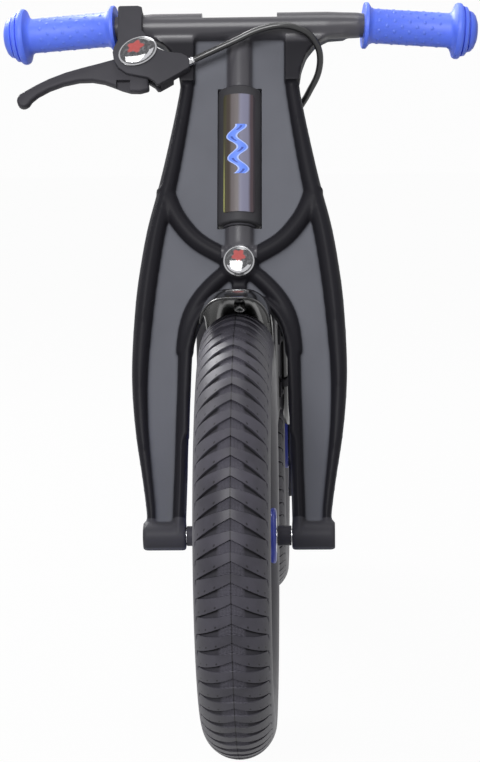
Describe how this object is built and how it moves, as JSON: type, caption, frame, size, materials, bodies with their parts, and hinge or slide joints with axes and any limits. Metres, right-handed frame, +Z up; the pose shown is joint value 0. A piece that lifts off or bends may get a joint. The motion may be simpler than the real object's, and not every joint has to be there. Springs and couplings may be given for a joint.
{
  "type": "balance bike",
  "caption": "Child's balance bike: a leaning one-piece fork, shield and handlebar, air-tyred wheels, a hand lever and cable to a rear drum brake, and a height-adjusted saddle.",
  "frame": {"origin": "on the ground under the middle of the bike, midway between the two wheels", "axes": "+X to the rider's left, -Y forwards, +Z up; the wheels turn about X and the steering axis leans 22 degrees back from +Z"},
  "size_m": [0.3592, 0.88, 0.5408],
  "materials": {
    "moulding": "fine matt texture with satin ribs, charcoal black",
    "frame": "fine matt texture, charcoal black",
    "grip": "soft satin, bright blue",
    "wheel_blue": "satin blue",
    "tyre": "matt black rubber with moulded chevron tread",
    "inner_tube": "matt black",
    "gloss_black": "high gloss black",
    "badge": "domed gloss with a dark red motif",
    "foil": "reflective foil in brown, silver and violet bands",
    "bright_steel": "bright zinc plate",
    "dark_steel": "black satin",
    "lining": "matt brown friction lining",
    "cushion": "black padded cover, sewn seam",
    "cable": "smooth black outer casing"
  },
  "bodies": {
    "frame": {"main_frame": "frame", "head_tube_sticker": "foil", "upper_steering_bush": "dark_steel", "lower_steering_bush": "dark_steel", "seat_clamp_collar": "dark_steel", "seat_clamp_bolt": "bright_steel", "rear_axle": "bright_steel", "rear_axle_nut_right": "bright_steel", "rear_axle_nut_left": "bright_steel", "rear_spacer_right": "moulding", "rear_spacer_left": "moulding", "brake_plate": "dark_steel", "shoe_anchor_pin": "bright_steel", "cable_stop": "bright_steel", "cable_clip_upper": "moulding", "cable_clip_lower": "moulding", "brake_cable": "cable"},
    "steering": {"fork_panel": "moulding", "right_grip": "grip", "left_grip": "grip", "steering_shaft": "bright_steel", "steering_cap": "moulding", "centre_badge": "badge", "front_mudguard": "gloss_black", "mudguard_washer": "bright_steel", "mudguard_screw": "bright_steel", "front_axle": "bright_steel", "front_axle_bolt_right": "dark_steel", "front_axle_bolt_left": "dark_steel", "front_spacer_right": "moulding", "front_spacer_left": "moulding", "brake_lever_housing": "moulding", "lever_badge": "badge", "lever_pivot_pin": "bright_steel", "clamp_screw": "bright_steel", "cable_ferrule": "bright_steel"},
    "front_wheel_set": {"front_wheel": "wheel_blue", "front_tyre": "tyre", "front_inner_tube": "inner_tube", "front_bearing_right": "dark_steel", "front_bearing_left": "dark_steel"},
    "lever": {"brake_lever_blade": "moulding"},
    "rear_wheel_set": {"rear_wheel": "wheel_blue", "rear_tyre": "tyre", "rear_inner_tube": "inner_tube", "rear_bearing_right": "dark_steel", "rear_bearing_left": "dark_steel"},
    "saddle": {"seat_post": "dark_steel", "saddle_shell": "frame", "saddle_cushion": "cushion"},
    "cam": {"brake_cam_arm": "bright_steel"},
    "shoe_rear": {"brake_shoe_rear": "lining"},
    "shoe_front": {"brake_shoe_front": "lining"}
  },
  "joints": [
    {"name": "steering_turn", "type": "hinge", "parent": "frame", "child": "steering", "pos_m": [0, -0.28, 0.16], "axis": [0, 0.3746, 0.9272], "range_deg": [-35, 35], "deforming": ["brake_cable"]},
    {"name": "front_wheel_spin", "type": "hinge", "parent": "steering", "child": "front_wheel_set", "pos_m": [0, -0.28, 0.16], "axis": [1, 0, 0], "continuous": true},
    {"name": "rear_wheel_spin", "type": "hinge", "parent": "frame", "child": "rear_wheel_set", "pos_m": [0, 0.28, 0.16], "axis": [1, 0, 0], "continuous": true},
    {"name": "brake_lever_squeeze", "type": "hinge", "parent": "steering", "child": "lever", "pos_m": [-0.076, -0.15503, 0.50134], "axis": [0, 0.9272, -0.3746], "range_deg": [0, 18], "stiffness_Nm_per_rad": 0.8, "springref_deg": -5.73},
    {"name": "brake_cam_turn", "type": "hinge", "parent": "frame", "child": "cam", "pos_m": [0.02, 0.28, 0.131], "axis": [-1, 0, 0], "range_deg": [0, 15]},
    {"name": "brake_shoe_rear_swing", "type": "hinge", "parent": "frame", "child": "shoe_rear", "pos_m": [0.0195, 0.28, 0.189], "axis": [1, 0, 0], "range_deg": [0, 1.5]},
    {"name": "brake_shoe_front_swing", "type": "hinge", "parent": "frame", "child": "shoe_front", "pos_m": [0.0195, 0.28, 0.189], "axis": [-1, 0, 0], "range_deg": [0, 1.5]},
    {"name": "saddle_height", "type": "slide", "parent": "frame", "child": "saddle", "axis": [0, 0.309, 0.9511], "range_m": [0, 0.05]}
  ],
  "couplings": [
    {"joint": "brake_cam_turn", "follows": "brake_lever_squeeze", "ratio": 0.8333},
    {"joint": "brake_shoe_rear_swing", "follows": "brake_lever_squeeze", "ratio": 0.0833},
    {"joint": "brake_shoe_front_swing", "follows": "brake_lever_squeeze", "ratio": 0.0833}
  ]
}
